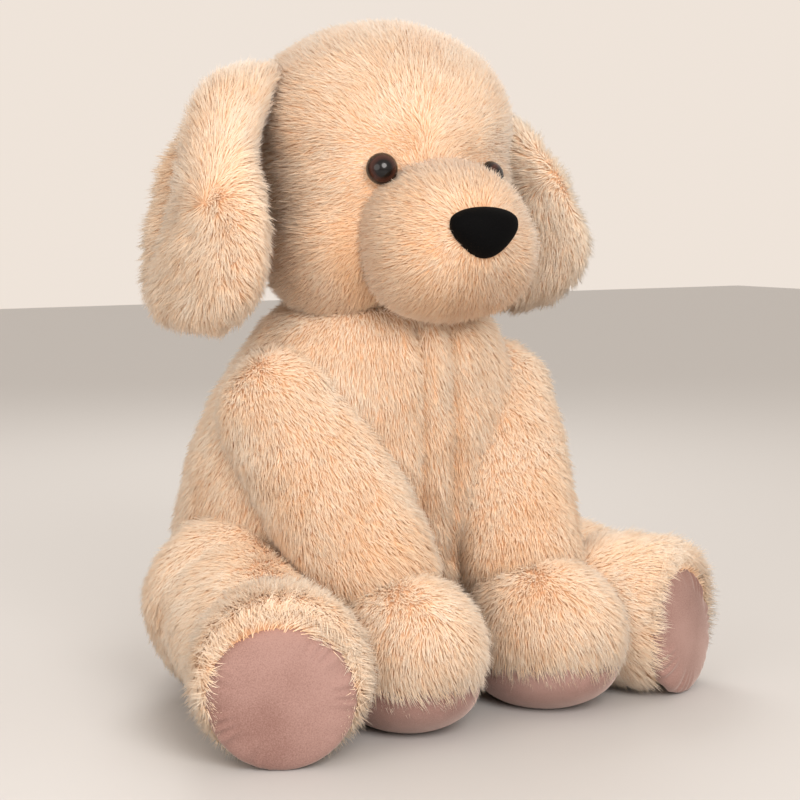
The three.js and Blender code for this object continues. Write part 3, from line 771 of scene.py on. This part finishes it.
velour = dusty_velour()
for side, sign in (("right", -1), ("left", 1)):
    shoulder = Vector((sign * 0.104, -0.021, 0.250))
    wrist = Vector((sign * 0.077, -0.114, 0.124))
    lumps = []
    for step in range(7):
        t = step / 6
        radius = 0.060 - 0.007 * t + 0.003 * math.sin(math.pi * t)
        lumps.append((shoulder.lerp(wrist, t), (radius, radius, radius), None))
    arm = stuffed_form(f"arm_{side}", lumps, soften=8, unevenness=0.003, seed=7.0 + sign)

    # Painted shade: the arm's pile is painted a deeper orange towards the wrist, as shade in the crease
    # above the paw.
    def wrist_painted_shade(p, wrist=wrist):
        return -0.35 * math.exp(-((p - wrist).length / 0.075) ** 2)

    grow_pile(arm, 0.013, 450000, fall=tuple((wrist - shoulder).normalized()), cells=130,
              swirl=1.5, lift=0.6, shade=wrist_painted_shade, seed=51 + sign)
    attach(arm, f"arm_{side}")
    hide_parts(f"arm_cover_{side}", f"arm_filling_{side}")

    # Paw: a fat round bag of pile gathered on at the wrist.
    paw_at = Vector((sign * 0.072, -0.160, 0.066))
    toe_out = Matrix.Rotation(math.radians(sign * 7), 4, "Z").to_quaternion()
    paw = stuffed_form(f"paw_{side}", [
        (paw_at, (0.060, 0.074, 0.060), toe_out),
        (paw_at + Vector((0, 0.016, 0.004)), (0.057, 0.061, 0.058), None),
    ], seed=9.0 + sign)

    def over_pad(p, paw_at=paw_at):
        return p.z < 0.034 - 0.10 * (p.y - paw_at.y)

    # Painted shade: the paw's pile is painted darker next to the wrist seam, as shade in the crease.
    def paw_wrist_painted_shade(p, wrist=wrist):
        return -0.30 * math.exp(-((p - wrist).length / 0.045) ** 2)

    grow_pile(paw, 0.014, 460000, whorl=paw_at + Vector((0, 0.05, 0.09)), spread=0.9,
              fall=(0, 0, -0.25), cells=130, swirl=1.3, lift=0.6, bare=over_pad, shade=paw_wrist_painted_shade,
              seed=61 + sign)
    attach(paw, f"arm_{side}")
    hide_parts(f"paw_cover_{side}", f"paw_filling_{side}")

    # Pad: a shallow velour cap under the paw, gathered a little where it meets the pile.
    pad_form = bmesh.new()
    bmesh.ops.create_icosphere(pad_form, subdivisions=5, radius=1)
    for corner in pad_form.verts:
        round_about = math.atan2(corner.co.y, corner.co.x)
        rim = max(0.0, 1 - abs(corner.co.z - 0.3) / 0.6)
        gather = 1 + 0.016 * rim * math.sin(round_about * 30 + 2 * math.sin(round_about * 5))
        corner.co = toe_out @ Vector((corner.co.x * 0.057 * gather, corner.co.y * 0.072 * gather,
                                      corner.co.z * 0.038 - corner.co.y * 0.006))
        corner.co += Vector((paw_at.x, paw_at.y, 0.034))
        corner.co.z = max(corner.co.z, 0.0004)
    pad = padded_mesh(f"paw_pad_{side}_velour", pad_form, velour)
    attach(pad, f"arm_{side}")
    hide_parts(f"paw_pad_{side}")


# Legs: a round haunch and short shin in one bag of pile, sewn on at the hip and splayed outwards.
# Each ends in a blunt foot with a stuffed velour sole let into its front.
SOLE_RADIUS = 0.059
SOLE_HEIGHT = 0.0555
FLAT_FRONT = 0.040
FOOT_AT = {"right": Vector((-0.202, -0.171, 0.070)), "left": Vector((0.180, -0.154, 0.070))}
for side, sign in (("right", -1), ("left", 1)):
    hip = Vector((sign * 0.137, 0.014, 0.082))
    ankle = Vector((sign * 0.186, -0.110, 0.068))
    lumps = [(hip, (0.080, 0.080, 0.080), None)]
    for step in range(1, 6):
        t = step / 5
        radius = 0.072 - 0.011 * t
        lumps.append((hip.lerp(ankle, t), (radius, radius, radius), None))
    leg = stuffed_form(f"leg_{side}", lumps, soften=8, unevenness=0.003, seed=11.0 + sign)
    settle_on_floor(leg)

    # Painted shade: the haunch is painted darker where the arm lies against it, as shade in the crevice
    # between them.
    def arm_crevice_painted_shade(p, sign=sign):
        return -0.5 * math.exp(-((p - Vector((sign * 0.095, -0.060, 0.120))).length / 0.055) ** 2)

    grow_pile(leg, 0.013, 400000, fall=(sign * 0.5, -0.25, -1), clump=0.4, cells=120,
              bare=lambda p: p.z < 0.005, shade=arm_crevice_painted_shade, seed=71 + sign)
    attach(leg, f"leg_{side}")
    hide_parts(f"leg_cover_{side}", f"leg_filling_{side}")

    # Foot: flat in front, where the sole is let in, with the pile brushed out round its edge.
    splay = Matrix.Rotation(math.radians(sign * 26), 4, "Z")
    ahead = splay @ Vector((0, -1, 0))
    foot_at = FOOT_AT[side]
    turn = splay.to_3x3().to_quaternion()
    foot = stuffed_form(f"foot_{side}", [
        (foot_at - 0.012 * ahead, (0.063, 0.060, 0.063), turn),
        (foot_at + 0.018 * ahead, (0.067, 0.056, 0.064), turn),
    ], seed=13.0 + sign)
    for vertex in foot.data.vertices:
        beyond = (vertex.co - foot_at).dot(ahead) - FLAT_FRONT
        if beyond > 0:
            vertex.co -= ahead * beyond
    settle_on_floor(foot)

    sole_at = Vector((foot_at.x, foot_at.y, SOLE_HEIGHT)) + 0.041 * ahead

    def on_sole(p, foot_at=foot_at, ahead=ahead, sole_at=sole_at):
        depth = (p - foot_at).dot(ahead)
        off = p - sole_at
        beside = math.hypot(off.x, off.y)
        under_sole = depth > 0.0395 and math.hypot(beside / 0.056, off.z / 0.053) < 1
        return under_sole or p.z < (0.030 if depth > 0.028 else 0.016 if depth > 0.015 else 0.004)

    grow_pile(foot, 0.018, 540000, whorl=tuple(foot_at - 0.05 * ahead), spread=0.5, fall=tuple(0.8 * ahead),
              clump=0.4, cells=120, lift=0.6, droop=0.2, bare=on_sole, seed=81 + sign)
    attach(foot, f"leg_{side}")
    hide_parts(f"foot_cover_{side}", f"foot_filling_{side}")

    # Sole: a stuffed velour disc, domed, with small gathers all round its seam.
    sole_form = bmesh.new()
    bmesh.ops.create_icosphere(sole_form, subdivisions=6, radius=1)
    facing = (ahead + Vector((0, 0, 0.10))).normalized()
    stand = Matrix.Translation(sole_at) @ facing.to_track_quat("Z", "Y").to_matrix().to_4x4()
    for corner in sole_form.verts:
        out = math.hypot(corner.co.x, corner.co.y)
        round_about = math.atan2(corner.co.y, corner.co.x)
        rim = max(0.0, (out - 0.62) / 0.38)
        drawn_in = 0.55 + 0.45 * math.sin(round_about * 2 + 0.6)
        wrinkle = math.sin(round_about * 25 + 2.4 * math.sin(round_about * 7)) * 0.0030 * drawn_in
        wrinkle *= rim * (1 - 0.45 * rim)
        height = math.copysign(abs(corner.co.z) ** 0.8, corner.co.z) * (0.016 if corner.co.z > 0 else 0.012)
        corner.co = Vector((corner.co.x * SOLE_RADIUS, corner.co.y * 0.056, height + wrinkle))
    bmesh.ops.transform(sole_form, matrix=stand, verts=sole_form.verts)
    for corner in sole_form.verts:
        corner.co.z = max(corner.co.z, 0.0004)
    sole = padded_mesh(f"sole_{side}_velour", sole_form, velour)
    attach(sole, f"leg_{side}")
    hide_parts(f"sole_{side}")


# Tail: a short stuffed stub of the same pile, sewn on low at the back.
TAIL_ROOT = Vector((0, 0.194, 0.066))
TAIL_TIP = Vector((0, 0.216, 0.114))
tail = stuffed_form("tail", [
    (TAIL_ROOT.lerp(TAIL_TIP, step / 4), (0.017 - 0.0015 * step,) * 3, None) for step in range(5)
], grain=0.004, seed=17.0)
grow_pile(tail, 0.019, 500000, whorl=tuple(TAIL_ROOT), spread=1.0, fall=(0, 0.2, 0.1), clump=0.8,
          seed=91)
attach(tail, "tail")
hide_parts("tail_cover", "tail_filling")

# Eye washers: two white nylon rings pushed over the eye shanks inside the head. They keep the
# frame's own shape and only take a faintly mottled nylon.
nylon = bpy.data.materials.new("washer_nylon")
nylon.use_nodes = True
nylon_place = nylon.node_tree.nodes.new("ShaderNodeTexCoord")
mottle = nylon.node_tree.nodes.new("ShaderNodeTexNoise")
mottle.inputs["Scale"].default_value = 300
nylon.node_tree.links.new(nylon_place.outputs["Object"], mottle.inputs["Vector"])
nylon_tint = nylon.node_tree.nodes.new("ShaderNodeValToRGB")
nylon_tint.color_ramp.elements[0].color = (0.76, 0.74, 0.70, 1)
nylon_tint.color_ramp.elements[1].color = (0.86, 0.84, 0.80, 1)
nylon.node_tree.links.new(mottle.outputs["Fac"], nylon_tint.inputs["Fac"])
nylon_shader = nylon.node_tree.nodes["Principled BSDF"]
nylon.node_tree.links.new(nylon_tint.outputs["Color"], nylon_shader.inputs["Base Color"])
nylon_shader.inputs["Roughness"].default_value = 0.45
for side in ("right", "left"):
    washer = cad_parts[f"eye_washer_{side}"].data
    washer.materials.clear()
    washer.materials.append(nylon)

# The fibre lock has served its turn.
bpy.data.objects.remove(lock)
